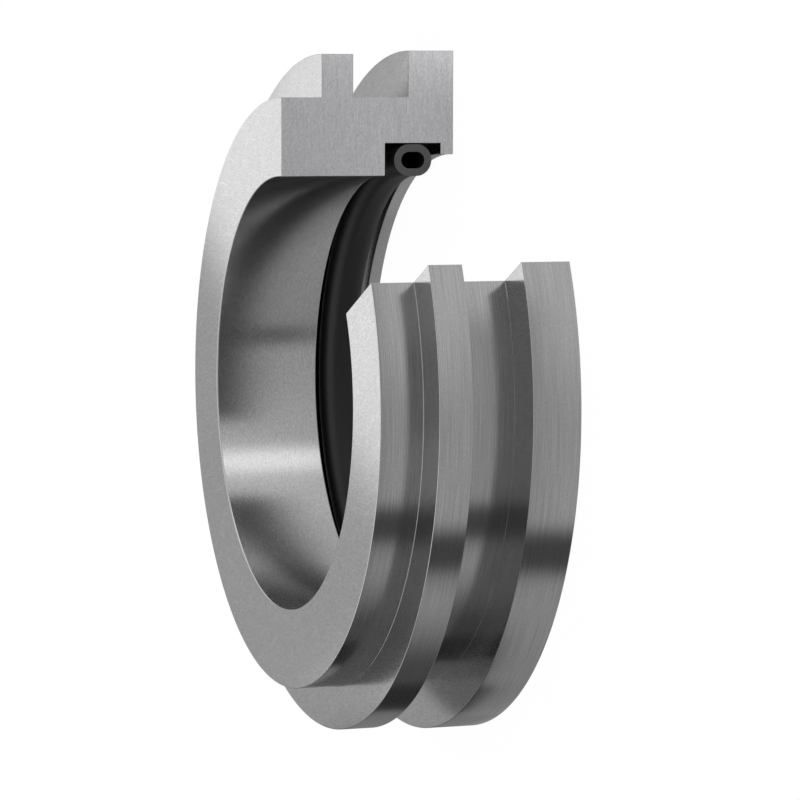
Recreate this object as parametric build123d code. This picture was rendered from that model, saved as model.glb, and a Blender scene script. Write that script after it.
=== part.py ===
from build123d import *
import os
from math import pi

# Labyrinth seal ring for a plain shaft, cut open by one sector, so that its profile and the hollow
# rubber seal in its groove show on two flat cut faces.
# Sizes are in millimetres. Z is the ring's axis. The ring stands on the face of its wide flange at
# z = 0, and the nose points up.

# Shaft and bore
shaft_diameter = 60.0
bore_clearance = 0.05  # all round, so that the ring slides along the shaft

# Hub and flanges. A wall or a height is measured along the radius, a width along the axis.
hub_wall = 10.95
nose_width = 5.9
thin_flange_height = 6.0
thin_flange_width = 4.65
labyrinth_gap = 8.1
wide_flange_height = 6.5
wide_flange_width = 6.75

# Groove for the rubber seal, closed by a thin lip
groove_depth = 4.55
lip_height = 1.6
lip_width = 1.9

# Turned edges are broken and the corners under the flanges filled, both at 45 degrees
edge_break = 0.2
corner_fill = 0.25

# Rubber seal: a round tube, pressed oval between the shaft and the floor of its groove
seal_wall = 1.05
seal_squeeze = 0.7  # how much the tube is flattened
seat_clearance = 0.15  # between the seal and the floor of the groove
side_clearance = 1.35  # between the seal and each side of the groove
flats_per_quarter = 4  # narrow flats that stand for each quarter round of the tube's section

# Sector that is taken out, as angles about the axis from +X towards +Y
sector_angle = 65.0
sector_middle = -45.0

# Radii
shaft_radius = shaft_diameter / 2
bore_radius = shaft_radius + bore_clearance
hub_radius = bore_radius + hub_wall
thin_flange_radius = hub_radius + thin_flange_height
wide_flange_radius = hub_radius + wide_flange_height
groove_radius = bore_radius + groove_depth
lip_radius = groove_radius - lip_height

# Heights of the shoulders above the wide flange's face
thin_flange_bottom = wide_flange_width + labyrinth_gap
thin_flange_top = thin_flange_bottom + thin_flange_width
ring_width = thin_flange_top + nose_width

# Section of the pressed seal. Its wall keeps its length when the round tube is flattened, so the
# height that it loses comes back as two straight sides.
seal_height = groove_radius - seat_clearance - shaft_radius
seal_straight = pi * seal_squeeze / 2
seal_width = seal_height + seal_straight
groove_width = seal_width + 2 * side_clearance
groove_top = lip_width + groove_width
seal_middle_radius = shaft_radius + seal_height / 2
seal_middle_height = lip_width + groove_width / 2


def band(inner_radius, outer_radius, bottom, top):
    """Rectangle of the half section between two radii and two heights."""
    width = outer_radius - inner_radius
    height = top - bottom
    middle = Location((inner_radius + width / 2, bottom + height / 2))
    return middle * Rectangle(width, height)


def corners(section, radii, heights):
    """Corners of the half section that lie at one of the radii and at one of the heights."""
    return [
        corner
        for corner in section.vertices()
        if any(abs(corner.X - radius) < 1e-6 for radius in radii)
        and any(abs(corner.Y - height) < 1e-6 for height in heights)
    ]


def ring_section():
    """Half section of the ring: its hub and two flanges, less the stepped groove for the seal."""
    section = (
        band(bore_radius, hub_radius, 0, ring_width)
        + band(bore_radius, thin_flange_radius, thin_flange_bottom, thin_flange_top)
        + band(bore_radius, wide_flange_radius, 0, wide_flange_width)
        - band(bore_radius, groove_radius, lip_width, groove_top)
        - band(bore_radius, lip_radius, 0, lip_width)
    )
    flange_roots = corners(section, [hub_radius], [wide_flange_width, thin_flange_bottom, thin_flange_top])
    section = chamfer(flange_roots, corner_fill)
    turned_edges = (
        corners(section, [wide_flange_radius], [0, wide_flange_width])
        + corners(section, [thin_flange_radius], [thin_flange_bottom, thin_flange_top])
        + corners(section, [hub_radius, bore_radius], [ring_width])
        + corners(section, [bore_radius], [groove_top])
        + corners(section, [lip_radius], [0, lip_width])
    )
    return chamfer(turned_edges, edge_break)


def oblong(height):
    """Outline of a round tube pressed to a height: two straight sides along X with a round end each."""
    flats = 4 * flats_per_quarter
    end = RegularPolygon(height / 2, flats, major_radius=False, rotation=180 / flats)
    ends = [Pos(side * seal_straight / 2, 0) * end for side in (-1, 1)]
    return Rectangle(seal_straight, height) + ends


def seal_section():
    """Half section of the pressed seal: a hollow oblong, its straight sides along the axis."""
    middle = Location((seal_middle_radius, seal_middle_height), 90)
    return middle * (oblong(seal_height) - oblong(seal_height - 2 * seal_wall))


def turn(section):
    """Turn a half section about the axis, leaving the sector open."""
    start = sector_middle + sector_angle / 2
    upright = Rot(0, 0, start) * Plane.XZ.location * section
    return revolve(upright, Axis.Z, 360 - sector_angle)


parts = {
    "labyrinth_ring": turn(ring_section()),
    "hollow_rubber_seal": turn(seal_section()),
}

os.makedirs("parts", exist_ok=True)
for name, solid in parts.items():
    export_step(solid, f"parts/{name}.step")
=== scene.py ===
"""Labyrinth seal ring for a shaft, cut open by one sector, with the hollow rubber seal in its groove.

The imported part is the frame. A finely turned ring and a smooth rubber seal stand for its two solids.
Lengths are in metres. Z is the ring's axis, and the ring stands on its wide flange at z = 0.
"""
from math import cos, pi, radians, sin

import bmesh
import bpy
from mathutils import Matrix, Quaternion, Vector


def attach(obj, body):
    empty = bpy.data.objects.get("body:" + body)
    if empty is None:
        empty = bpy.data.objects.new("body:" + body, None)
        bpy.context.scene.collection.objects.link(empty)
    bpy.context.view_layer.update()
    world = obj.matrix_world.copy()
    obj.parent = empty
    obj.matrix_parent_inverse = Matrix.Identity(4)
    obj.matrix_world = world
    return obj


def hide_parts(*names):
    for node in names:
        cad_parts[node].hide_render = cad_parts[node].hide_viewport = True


MM = 0.001

# Places nearer than CLOSE are the same place. Directions whose cosine is over ALIGNED are the same way.
CLOSE = 0.01 * MM
ALIGNED = 0.99

# Radii of the ring
BORE = 30.05 * MM
LIP = 33.0 * MM
GROOVE = 34.6 * MM
HUB = 41.0 * MM
THIN_FLANGE = 47.0 * MM
WIDE_FLANGE = 47.5 * MM

# Heights of its shoulders
LIP_TOP = 1.9 * MM
WIDE_FLANGE_TOP = 6.75 * MM
GROOVE_TOP = 10.15 * MM
THIN_FLANGE_BOTTOM = 14.85 * MM
THIN_FLANGE_TOP = 19.5 * MM
NOSE = 25.4 * MM

# Rounding of the turned edges, of the corners under the flanges and of the edges of the cuts
BORE_EDGE = 0.17 * MM
RIM_EDGE = 0.09 * MM
CORNER_FILL = 0.06 * MM
CUT_EDGE = 0.06 * MM

# Pressed rubber tube: two round ends with straight sides between them
SEAL_INSIDE = 30.0 * MM
SEAL_OUTSIDE = 34.45 * MM
SEAL_STRAIGHT = 1.1 * MM
SEAL_MIDDLE_HEIGHT = 6.025 * MM
SEAL_WALL = 1.05 * MM

# The open sector, in degrees from X towards Y
SECTOR_ANGLE = 65
SECTOR_MIDDLE = -45

# The turned pieces run from the first cut the long way round to the second, in steps of one degree
FIRST_CUT = radians(SECTOR_MIDDLE + SECTOR_ANGLE / 2)
TURNED_ANGLE = radians(360 - SECTOR_ANGLE)
TURNING_STEPS = 360 - SECTOR_ANGLE

# Faces that meet at less than this are shaded as one smooth surface
SMOOTH_ANGLE = radians(10)

# The ring's materials, in the order of its slots
TURNED, BORED, FACED, CUT, EDGE = range(5)


def select(piece, kind, wanted):
    """In edit mode, selects the vertices, edges or faces that are wanted."""
    bpy.ops.mesh.select_mode(type=kind)
    bpy.ops.mesh.select_all(action="DESELECT")
    mesh = bmesh.from_edit_mesh(piece.data)
    elements = {"VERT": mesh.verts, "EDGE": mesh.edges, "FACE": mesh.faces}[kind]
    for element in elements:
        if wanted(element):
            element.select_set(True)
    mesh.select_flush_mode()
    bmesh.update_edit_mesh(piece.data)


def extrude_wall(piece, radius, bottom, top, distance):
    """Moves a copy of the section's upright edges at a radius in or out, which adds a band there."""

    def on_wall(edge):
        middle = (edge.verts[0].co + edge.verts[1].co) / 2
        upright = all(abs(vertex.co.x - radius) < CLOSE for vertex in edge.verts)
        return upright and bottom < middle.z < top

    select(piece, "EDGE", on_wall)
    bpy.ops.mesh.extrude_region_move(TRANSFORM_OT_translate={"value": (distance, 0, 0)})


def round_corners(piece, places, size, segments):
    """Rounds the section's corners at the given radii and heights."""

    def at_place(vertex):
        return any((vertex.co - Vector((radius, 0, height))).length < CLOSE for radius, height in places)

    select(piece, "VERT", at_place)
    bpy.ops.mesh.bevel(offset=size, segments=segments, profile=0.5, affect="VERTICES")


def turn(piece):
    """Spins the section from the first cut to the second and closes the mesh."""
    bpy.ops.mesh.select_mode(type="FACE")
    bpy.ops.mesh.select_all(action="SELECT")
    bpy.ops.mesh.spin(steps=TURNING_STEPS, angle=-TURNED_ANGLE, center=(0, 0, 0), axis=(0, 0, 1))
    bpy.ops.mesh.select_all(action="SELECT")
    bpy.ops.mesh.remove_doubles(threshold=CLOSE / 10)
    bpy.ops.mesh.normals_make_consistent(inside=False)
    bpy.ops.object.mode_set(mode="OBJECT")
    piece.rotation_euler.z = FIRST_CUT
    bpy.ops.object.transform_apply(location=True, rotation=True, scale=True)


def on_cut(centre, normal):
    """True for a face on either cut: it lies in the cut's plane through the axis."""
    for angle in (FIRST_CUT, FIRST_CUT + TURNED_ANGLE):
        round_the_ring = Vector((-sin(angle), cos(angle), 0))
        if abs(centre.dot(round_the_ring)) < CLOSE and abs(normal.dot(round_the_ring)) > ALIGNED:
            return True
    return False


def soften_cuts(piece):
    """Takes the sharpness off the outline of both cut faces."""
    bpy.ops.object.mode_set(mode="EDIT")
    select(piece, "FACE", lambda face: on_cut(face.calc_center_median(), face.normal))
    bpy.ops.mesh.region_to_loop()
    bpy.ops.mesh.bevel(offset=CUT_EDGE, segments=2, profile=0.5, affect="EDGES", clamp_overlap=True)
    bpy.ops.object.mode_set(mode="OBJECT")


def start_section(name):
    """Names the new primitive, applies its place and size, and starts to edit it."""
    bpy.ops.object.select_all(action="DESELECT")
    piece = bpy.context.object
    piece.select_set(True)
    piece.name = name
    bpy.ops.object.transform_apply(location=True, rotation=True, scale=True)
    bpy.ops.object.mode_set(mode="EDIT")
    return piece


def make_ring():
    """Half section of the ring as a flat plate, its corners rounded, then turned."""
    bpy.ops.mesh.primitive_plane_add(
        size=1, location=((GROOVE + HUB) / 2, 0, NOSE / 2), rotation=(radians(90), 0, 0)
    )
    bpy.context.object.scale = (HUB - GROOVE, NOSE, 1)
    ring = start_section("turned_labyrinth_ring")
    for height in (LIP_TOP, WIDE_FLANGE_TOP, GROOVE_TOP, THIN_FLANGE_BOTTOM, THIN_FLANGE_TOP):
        bpy.ops.mesh.select_all(action="SELECT")
        bpy.ops.mesh.bisect(plane_co=(0, 0, height), plane_no=(0, 0, 1))
    extrude_wall(ring, HUB, 0, WIDE_FLANGE_TOP, WIDE_FLANGE - HUB)
    extrude_wall(ring, HUB, THIN_FLANGE_BOTTOM, THIN_FLANGE_TOP, THIN_FLANGE - HUB)
    extrude_wall(ring, GROOVE, 0, LIP_TOP, LIP - GROOVE)
    extrude_wall(ring, GROOVE, GROOVE_TOP, NOSE, BORE - GROOVE)
    bpy.ops.mesh.select_all(action="SELECT")
    bpy.ops.mesh.remove_doubles(threshold=CLOSE)
    bpy.ops.mesh.dissolve_limited(angle_limit=radians(1))

    rim_edges = [
        (WIDE_FLANGE, 0),
        (WIDE_FLANGE, WIDE_FLANGE_TOP),
        (THIN_FLANGE, THIN_FLANGE_BOTTOM),
        (THIN_FLANGE, THIN_FLANGE_TOP),
        (HUB, NOSE),
    ]
    bore_edges = [(BORE, NOSE), (BORE, GROOVE_TOP), (LIP, LIP_TOP), (LIP, 0)]
    flange_roots = [(HUB, WIDE_FLANGE_TOP), (HUB, THIN_FLANGE_BOTTOM), (HUB, THIN_FLANGE_TOP)]
    round_corners(ring, rim_edges, RIM_EDGE, segments=3)
    round_corners(ring, bore_edges, BORE_EDGE, segments=3)
    round_corners(ring, flange_roots, CORNER_FILL, segments=2)
    turn(ring)
    soften_cuts(ring)
    return ring


def make_seal():
    """Section of the rubber tube as a stretched circle with a wall, then turned."""
    middle_radius = (SEAL_OUTSIDE + SEAL_INSIDE) / 2
    corners = 48
    bpy.ops.mesh.primitive_circle_add(
        vertices=corners,
        radius=(SEAL_OUTSIDE - SEAL_INSIDE) / 2,
        fill_type="NGON",
        location=(middle_radius, 0, SEAL_MIDDLE_HEIGHT),
        rotation=(radians(90), pi / corners, 0),
    )
    seal = start_section("smooth_rubber_seal")
    for side in (-1, 1):
        select(seal, "VERT", lambda vertex: (vertex.co.z - SEAL_MIDDLE_HEIGHT) * side > 0)
        bpy.ops.transform.translate(value=(0, 0, side * SEAL_STRAIGHT / 2))
    bpy.ops.mesh.select_mode(type="FACE")
    bpy.ops.mesh.select_all(action="SELECT")
    bpy.ops.mesh.inset(thickness=SEAL_WALL)
    bpy.ops.mesh.delete(type="FACE")
    turn(seal)
    return seal


WHITE = (1, 1, 1, 1)
STEEL_GREY = 0.6
CUT_GREY = 0.64

# A trace of blue, as a factor, in the faced and in the cut steel
COOL_FACE = 1.012
COOL_CUT = 1.028

# Painted shade: the cut faces' colour is a little darker towards the rim, by a factor
CUT_SHADE_AT_BORE = 1.05
CUT_SHADE_AT_RIM = 0.91

# Roughness of the steel's finishes
TURNED_ROUGHNESS = 0.18
BORED_ROUGHNESS = 0.18
WORN_BORE_ROUGHNESS = 0.262
FACED_ROUGHNESS = 0.18
CUT_ROUGHNESS = 0.25
EDGE_ROUGHNESS = 0.2

# The bore grows duller from the first of these angles to the second, both counted from the side opposite
# the open sector
WORN_FROM = radians(-24)
WORN_TO = radians(0)

RUBBER_SPECULAR = 0.45

# Depth of the steel's fine lines and of the rubber's grain
LINE_DEPTH = 0.0003 * MM
GRAIN_DEPTH = 0.002 * MM


class Shader:
    """A material's node tree, with short ways to add its nodes."""

    def __init__(self, tree):
        self.tree = tree

    def node(self, kind, **settings):
        node = self.tree.nodes.new(kind)
        for name, value in settings.items():
            setattr(node, name, value)
        return node

    def put(self, socket, value):
        """Links a socket to another node's output, or gives it a plain value."""
        if isinstance(value, bpy.types.NodeSocket):
            self.tree.links.new(value, socket)
        else:
            socket.default_value = value

    def show(self, node):
        """Puts a shader node on the material's surface."""
        self.put(self.tree.nodes["Material Output"].inputs["Surface"], node.outputs[0])

    def math(self, operation, *values):
        node = self.node("ShaderNodeMath", operation=operation)
        for socket, value in zip(node.inputs, values):
            self.put(socket, value)
        return node.outputs[0]

    def combine(self, *values):
        node = self.node("ShaderNodeCombineXYZ")
        for socket, value in zip(node.inputs, values):
            self.put(socket, value)
        return node.outputs[0]

    def separate(self, vector):
        node = self.node("ShaderNodeSeparateXYZ")
        self.put(node.inputs[0], vector)
        return node.outputs

    def object_place(self, turn=0.0, scale=1.0):
        """Place on the piece, turned about the ring's axis and scaled."""
        node = self.node("ShaderNodeMapping")
        self.put(node.inputs["Vector"], self.node("ShaderNodeTexCoord").outputs["Object"])
        self.put(node.inputs["Rotation"], (0, 0, turn))
        self.put(node.inputs["Scale"], (scale, scale, scale))
        return node.outputs[0]

    def remap(self, value, low, high, to_low, to_high, smooth=False):
        """A number moved from one range to another, and kept within it."""
        node = self.node("ShaderNodeMapRange")
        if smooth:
            node.interpolation_type = "SMOOTHSTEP"
        for name, number in (
            ("Value", value),
            ("From Min", low),
            ("From Max", high),
            ("To Min", to_low),
            ("To Max", to_high),
        ):
            self.put(node.inputs[name], number)
        return node.outputs["Result"]

    def noise(self, vector):
        """A soft pattern around 0.5, with one spot to each unit."""
        node = self.node("ShaderNodeTexNoise")
        self.put(node.inputs["Vector"], vector)
        self.put(node.inputs["Scale"], 1.0)
        self.put(node.inputs["Detail"], 1.0)
        return node.outputs["Fac"]

    def grey(self, level, cool=1.0):
        """A grey, its blue raised by a factor for a cool one."""
        node = self.node("ShaderNodeCombineColor")
        for socket in node.inputs:
            self.put(socket, level)
        if cool != 1.0:
            self.put(node.inputs["Blue"], self.math("MULTIPLY", level, cool))
        return node.outputs[0]


def new_material(name):
    """A new material, its node tree and its Principled node."""
    material = bpy.data.materials.new(name)
    material.use_nodes = True
    shader = Shader(material.node_tree)
    surface = material.node_tree.nodes["Principled BSDF"]
    return material, shader, surface


def lathe_coordinates(shader):
    """Way round the ring, distance from its axis and height.

    The way round is counted on the hub, from the side opposite the open sector. Its seam lies in that sector.
    """
    x, y, height = shader.separate(shader.object_place(turn=radians(-180 - SECTOR_MIDDLE)))
    arc = shader.math("MULTIPLY", shader.math("ARCTAN2", y, x), HUB)
    squares = [shader.math("MULTIPLY", side, side) for side in (x, y)]
    distance = shader.math("SQRT", shader.math("ADD", *squares))
    return arc, distance, height


def streaks(shader, along, across, depth, length, width):
    """Fine lines: noise drawn out along the first of three ways."""
    place = shader.combine(
        shader.math("DIVIDE", along, length),
        shader.math("DIVIDE", across, width),
        shader.math("DIVIDE", depth, width),
    )
    return shader.noise(place)


def grain(shader, size):
    """Even fine speckle."""
    return shader.noise(shader.object_place(scale=1 / size))


def scratches(shader, direction, length, width):
    """Fine lines on an end face, all one way. The direction is an angle from X, in degrees."""
    along, across, height = shader.separate(shader.object_place(turn=-radians(direction)))
    return streaks(shader, along, across, height, length, width)


def layered(shader, middle, layers):
    """A number that each layer's pattern, which lies around 0.5, swings up and down by a share."""
    total = middle * (1 - sum(swing for pattern, swing in layers))
    for pattern, swing in layers:
        total = shader.math("MULTIPLY_ADD", pattern, 2 * swing * middle, total)
    return total


def set_finish(shader, surface, colour, roughness, pattern, depth):
    """Gives a surface its colour, its roughness and a relief from a pattern."""
    shader.put(surface.inputs["Base Color"], colour)
    shader.put(surface.inputs["Roughness"], roughness)
    bump = shader.node("ShaderNodeBump")
    shader.put(bump.inputs["Distance"], depth)
    shader.put(bump.inputs["Height"], pattern)
    shader.put(surface.inputs["Normal"], bump.outputs[0])


def steel(name):
    """A bare metal surface, still without its finish."""
    material, shader, surface = new_material(name)
    surface.inputs["Metallic"].default_value = 1.0
    return material, shader, surface


def turned_steel():
    """Cylinders: fine lines run round the ring."""
    material, shader, surface = steel("turned_steel")
    arc, distance, height = lathe_coordinates(shader)
    fine_lines = streaks(shader, arc, height, distance, length=9 * MM, width=0.1 * MM)
    broad_lines = streaks(shader, arc, height, distance, length=12 * MM, width=0.35 * MM)
    speckle = grain(shader, 0.15 * MM)
    level = layered(shader, STEEL_GREY, [(fine_lines, 0.3), (broad_lines, 0.06), (speckle, 0.19)])
    roughness = layered(shader, TURNED_ROUGHNESS, [(fine_lines, 0.1)])
    set_finish(shader, surface, shader.grey(level), roughness, fine_lines, LINE_DEPTH)
    return material


def bored_steel():
    """The bore: a finer grain, its lines short, and duller over part of the way round."""
    material, shader, surface = steel("bored_steel")
    arc, distance, height = lathe_coordinates(shader)
    short_lines = streaks(shader, arc, height, distance, length=0.5 * MM, width=0.12 * MM)
    speckle = grain(shader, 0.14 * MM)
    level = layered(shader, STEEL_GREY, [(short_lines, 0.26), (speckle, 0.25)])
    worn = shader.remap(arc, WORN_FROM * HUB, WORN_TO * HUB, 0, 1, smooth=True)
    roughness = layered(shader, BORED_ROUGHNESS, [(short_lines, 0.1)])
    roughness = shader.math("MULTIPLY_ADD", worn, WORN_BORE_ROUGHNESS - BORED_ROUGHNESS, roughness)
    set_finish(shader, surface, shader.grey(level), roughness, short_lines, LINE_DEPTH)
    return material


def faced_steel():
    """End faces: fine scratches that cross, and a few light ones that stand out."""
    material, shader, surface = steel("faced_steel")
    outward = scratches(shader, 0, length=2 * MM, width=0.12 * MM)
    sideways = [scratches(shader, direction, length=2 * MM, width=0.11 * MM) for direction in (82, 97)]
    speckle = grain(shader, 0.14 * MM)
    layers = [(outward, 0.17), (speckle, 0.3)] + [(pattern, 0.16) for pattern in sideways]
    for direction in (67, 75, 103, 111):
        pattern = scratches(shader, direction, length=5 * MM, width=0.15 * MM)
        only_peaks = shader.remap(pattern, 0.6, 0.75, 0.5, 1)
        layers.append((only_peaks, 0.14))
    level = layered(shader, STEEL_GREY, layers)
    roughness = layered(shader, FACED_ROUGHNESS, [(sideways[0], 0.15)])
    set_finish(shader, surface, shader.grey(level, COOL_FACE), roughness, sideways[1], LINE_DEPTH)
    return material


def cut_steel():
    """Cut faces: short fine lines run out from the axis."""
    material, shader, surface = steel("cut_steel")
    arc, distance, height = lathe_coordinates(shader)
    short_lines = streaks(shader, distance, height, arc, length=0.45 * MM, width=0.11 * MM)
    long_lines = streaks(shader, distance, height, arc, length=2.5 * MM, width=0.12 * MM)
    speckle = grain(shader, 0.13 * MM)
    # Painted shade: the cut steel's colour darkens from the bore out to the rim
    shade = shader.remap(distance, BORE, WIDE_FLANGE, CUT_SHADE_AT_BORE, CUT_SHADE_AT_RIM)
    level = layered(shader, CUT_GREY, [(short_lines, 0.24), (long_lines, 0.17), (speckle, 0.29)])
    level = shader.math("MULTIPLY", level, shade)
    roughness = layered(shader, CUT_ROUGHNESS, [(long_lines, 0.1)])
    set_finish(shader, surface, shader.grey(level, COOL_CUT), roughness, short_lines, LINE_DEPTH)
    return material


def broken_edge():
    """Narrow rounded edges, with a trace of the lines beside them."""
    material, shader, surface = steel("broken_edge")
    arc, distance, height = lathe_coordinates(shader)
    lines = streaks(shader, arc, height, distance, length=2 * MM, width=0.16 * MM)
    level = layered(shader, STEEL_GREY, [(lines, 0.04)])
    roughness = layered(shader, EDGE_ROUGHNESS, [(lines, 0.1)])
    set_finish(shader, surface, shader.grey(level), roughness, lines, LINE_DEPTH)
    return material


def rubber(name, level, roughness):
    """Black rubber with a fine even grain."""
    material, shader, surface = new_material(name)
    surface.inputs["Specular IOR Level"].default_value = RUBBER_SPECULAR
    speckle = grain(shader, 0.15 * MM)
    colour = shader.grey(layered(shader, level, [(speckle, 0.1)]))
    set_finish(shader, surface, colour, layered(shader, roughness, [(speckle, 0.08)]), speckle, GRAIN_DEPTH)
    return material


def dress(piece, materials, choose):
    """Gives each face of a piece one of its materials, and shades it smooth."""
    for material in materials:
        piece.data.materials.append(material)
    for face in piece.data.polygons:
        face.material_index = choose(face)
    bpy.ops.object.select_all(action="DESELECT")
    bpy.context.view_layer.objects.active = piece
    piece.select_set(True)
    bpy.ops.object.shade_smooth_by_angle(angle=SMOOTH_ANGLE)


def ring_finish(face):
    """Which of the ring's materials a face has."""
    outwards = Vector((face.center.x, face.center.y, 0)).normalized()
    if face.normal.dot(outwards) > ALIGNED:
        return TURNED
    if face.normal.dot(outwards) < -ALIGNED:
        return BORED
    if abs(face.normal.z) > ALIGNED:
        return FACED
    return CUT if on_cut(face.center, face.normal) else EDGE


# The light tent is a round wall that closes over and under the ring. Only glossy rays see it.
TENT_RADIUS = 75 * MM
TENT_MIDDLE_HEIGHT = 10 * MM

# The wall's own brightness, and how soft a panel's lower and upper sides are, in degrees
TENT_WALL = 0.4
PANEL_SOFTNESS = 4

# Its screens, lamps and flags, each painted over those before it: the name, from one angle round the ring
# to another, how soft these two sides are, from one height to another, and the brightness. Angles and
# heights are in degrees from the tent's middle. The camera is at the front, near -90.
TENT_PANELS = (
    ("lamp overhead", -180, 180, 1, 30, 90, 0.9),
    ("lamp high on the left", 145, 245, 20, 36, 80, 1.1),
    ("table", -180, 180, 1, -90, -20, 0.37),
    ("rim of the table", 142, 250, 10, -29.5, -26, 0.05),
    ("light edge of the table", 142, 212, 10, -26, -20.5, 0.44),
    ("back of the table", -15, 75, 30, -50, -29, 0.25),
    ("edge of the table", 40, 158, 10, -21, -12, 0.225),
    ("edge of the table on the left", 158, 200, 10, -20, -15.5, 0.26),
    ("table on the right", -42, 45, 30, -28, -20, 0.78),
    ("right side", -42, 35, 16, -20, -8, 0.4),
    ("gap at the back", 50, 120, 20, -27, -16, 0.18),
    ("upper screen on the left", 131, 229, 6, 3, 14, 0.165),
    ("top of the left screen", 131, 229, 6, 14, 30, 0.135),
    ("screen on the left", 110, 160, 4, -16, 4, 0.225),
    ("dark left side", 160, 218, 4, -15, 13, 0.085),
    ("darkest part of the left side", 160, 178, 4, -15, 13, 0.03),
    ("lower strip on the left", -181, -138, 6, -20, -13, 0.3),
    ("strip on the left", -160.5, -138, 26, -28, 3, 0.36),
    ("glow over the strip", -168, -131, 16, 3, 30, 0.18),
    ("front screen", -131, -66, 8, -28, 3, 0.42),
    ("lower front screen", -131, -90, 6, -28, -19, 0.5),
    ("bright end of the front screen", -93, -40, 30, -28, 3, 0.58),
    ("foot of the bright end", -78, -60, 12, -28, -18, 0.54),
    ("seam of the front screen", -131, -78, 12, -12, -6, 0.34),
    ("glow beside the strip lamp", -60, -28, 8, -28, 6, 0.7),
    ("strip lamp", -60, -46, 7, -28, -6, 1.38),
    ("upper front screen", -131, -60, 6, 3, 18, 0.2),
    ("top of the front screen", -131, -60, 6, 18, 30, 0.25),
    ("patch on the left", -128, -110, 8, 14, 30, 0.32),
    ("patch on the right", -84, -60, 10, 14, 30, 0.31),
    ("flag", -141.5, -130, 6, -24, 30, 0.065),
    ("upper back screen", 60, 127.5, 16, 8, 90, 0.425),
    ("sill of the soft box", 15, 75, 8, 3, 15, 0.48),
)

# A large soft box at the back on the right, written as the panels are. Its upright sides slant round the
# ring, by this many degrees for each degree up.
SOFT_BOX = (-63, 27, 15, 15.8, 60, 1.07)
SOFT_BOX_SLANT = 1.7


class TentWall(Shader):
    """The brightness of the tent's wall, by the angle round the ring and the height over its middle."""

    def __init__(self, tree):
        super().__init__(tree)
        direction = self.node("ShaderNodeVectorMath", operation="NORMALIZE")
        self.put(direction.inputs[0], self.node("ShaderNodeTexCoord").outputs["Object"])
        x, y, z = self.separate(direction.outputs[0])
        self.angle = self.math("ARCTAN2", y, x)
        self.height = self.math("ARCSINE", z)
        self.level = TENT_WALL

    def within(self, place, low, high, softness):
        """1 from one angle to another, falling to 0 over both sides."""
        from_middle = self.math("SUBTRACT", place, radians(low + high) / 2)
        away = self.math("ABSOLUTE", self.math("WRAP", from_middle, pi, -pi))
        half = radians(high - low) / 2
        soft = radians(softness) / 2
        return self.remap(away, half - soft, half + soft, 1, 0, smooth=True)

    def hang(self, angle, left, right, side_softness, bottom, top, brightness):
        """Paints a soft-edged panel over what the wall has so far."""
        mix = self.node("ShaderNodeMix", data_type="FLOAT")
        across = self.within(angle, left, right, side_softness)
        upright = self.within(self.height, bottom, top, PANEL_SOFTNESS)
        self.put(mix.inputs[0], self.math("MULTIPLY", across, upright))
        self.put(mix.inputs[2], self.level)
        self.put(mix.inputs[3], brightness)
        self.level = mix.outputs[0]


def tent_wall():
    """Screens, lamps and flags as one material that only shines."""
    material = new_material("tent_wall")[0]
    wall = TentWall(material.node_tree)
    for name, *panel in TENT_PANELS:
        wall.hang(wall.angle, *panel)
    leaning_angle = wall.math("MULTIPLY_ADD", wall.height, -SOFT_BOX_SLANT, wall.angle)
    wall.hang(leaning_angle, *SOFT_BOX)
    lit = wall.node("ShaderNodeEmission")
    wall.put(lit.inputs["Color"], wall.grey(wall.level))
    wall.show(lit)
    material.cycles.emission_sampling = "NONE"
    return material


def put_up_tent():
    """The tent's sphere, which neither the camera nor diffuse rays see."""
    bpy.ops.mesh.primitive_uv_sphere_add(
        segments=96, ring_count=48, radius=TENT_RADIUS, location=(0, 0, TENT_MIDDLE_HEIGHT)
    )
    tent = bpy.context.object
    tent.name = "light_tent"
    tent.data.materials.append(tent_wall())
    tent.visible_camera = False
    tent.visible_diffuse = False
    tent.visible_shadow = False


def light_studio():
    """A plain white world, and the tent for what the steel mirrors."""
    world = bpy.data.worlds.new("studio")
    bpy.context.scene.world = world
    world.use_nodes = True
    world.node_tree.nodes["Background"].inputs["Color"].default_value = WHITE
    put_up_tent()


FLOOR_SIZE = 60
FLOOR_DROP = 0.05 * MM

# How much of the floor's colour the camera sees as plain white. The rest takes the shadow.
FLOOR_WHITE_SHARE = 0.98


def white_floor():
    """A matt floor that is nearly plain white to the camera."""
    material, shader, surface = new_material("white_floor")
    surface.inputs["Base Color"].default_value = WHITE
    surface.inputs["Roughness"].default_value = 1.0
    surface.inputs["Specular IOR Level"].default_value = 0.0
    white = shader.node("ShaderNodeEmission")
    rays = shader.node("ShaderNodeLightPath")
    mix = shader.node("ShaderNodeMixShader")
    share = shader.math("MULTIPLY", rays.outputs["Is Camera Ray"], FLOOR_WHITE_SHARE)
    for socket, source in zip(mix.inputs, (share, surface.outputs[0], white.outputs[0])):
        shader.put(socket, source)
    shader.show(mix)
    return material


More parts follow.
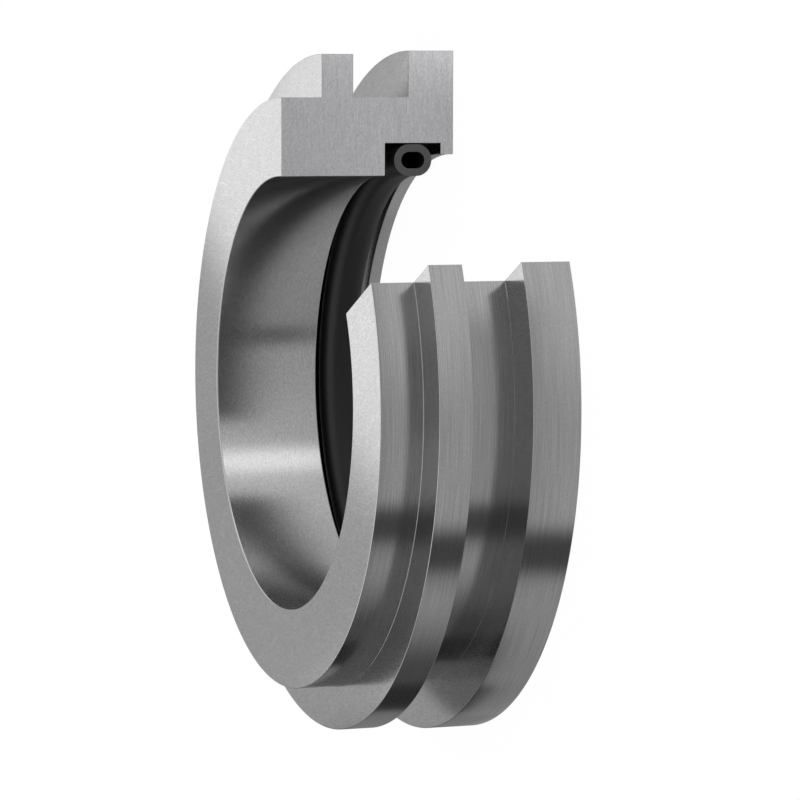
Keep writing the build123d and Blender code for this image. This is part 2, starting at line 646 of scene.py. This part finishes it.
def add_floor():
    bpy.ops.mesh.primitive_plane_add(size=FLOOR_SIZE, location=(0, 0, -FLOOR_DROP))
    floor = bpy.context.object
    floor.name = "floor"
    bpy.ops.object.transform_apply(location=True, rotation=True, scale=True)
    floor.data.materials.append(white_floor())
    floor.visible_glossy = False


def place_camera():
    """The photograph's view, in which the ring's axis lies nearly level, so the camera is rolled over."""
    azimuth = radians(-7.26)
    elevation = radians(19.898)
    roll = radians(-91.656)
    distance = 552.553 * MM
    target = Vector((-1.092, 2.688, 6.977)) * MM
    towards_camera = Vector(
        (sin(azimuth) * cos(elevation), -cos(azimuth) * cos(elevation), sin(elevation))
    )
    bpy.ops.object.camera_add(location=target + towards_camera * distance)
    camera = bpy.context.object
    camera.data.lens = 176.1
    camera.data.sensor_width = 36
    camera.data.clip_start = 0.01
    camera.data.clip_end = 100
    upright = (-towards_camera).to_track_quat("-Z", "Y")
    camera.rotation_mode = "QUATERNION"
    camera.rotation_quaternion = upright @ Quaternion((0, 0, 1), roll)
    bpy.context.scene.camera = camera


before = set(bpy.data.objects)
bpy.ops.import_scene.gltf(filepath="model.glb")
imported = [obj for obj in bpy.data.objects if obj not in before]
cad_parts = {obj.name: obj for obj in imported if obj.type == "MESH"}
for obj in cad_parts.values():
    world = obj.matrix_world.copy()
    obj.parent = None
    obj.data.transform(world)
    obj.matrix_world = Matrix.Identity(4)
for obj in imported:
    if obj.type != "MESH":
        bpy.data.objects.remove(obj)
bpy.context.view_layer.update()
place_camera()

ring = make_ring()
dress(ring, [turned_steel(), bored_steel(), faced_steel(), cut_steel(), broken_edge()], ring_finish)
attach(ring, "root")
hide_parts("labyrinth_ring")

seal = make_seal()
moulded = rubber("black_rubber", level=0.008, roughness=0.48)
cut = rubber("cut_rubber", level=0.07, roughness=0.7)
dress(seal, [moulded, cut], lambda face: int(on_cut(face.center, face.normal)))
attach(seal, "root")
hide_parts("hollow_rubber_seal")

add_floor()
light_studio()
bpy.context.scene.view_settings.view_transform = "Standard"
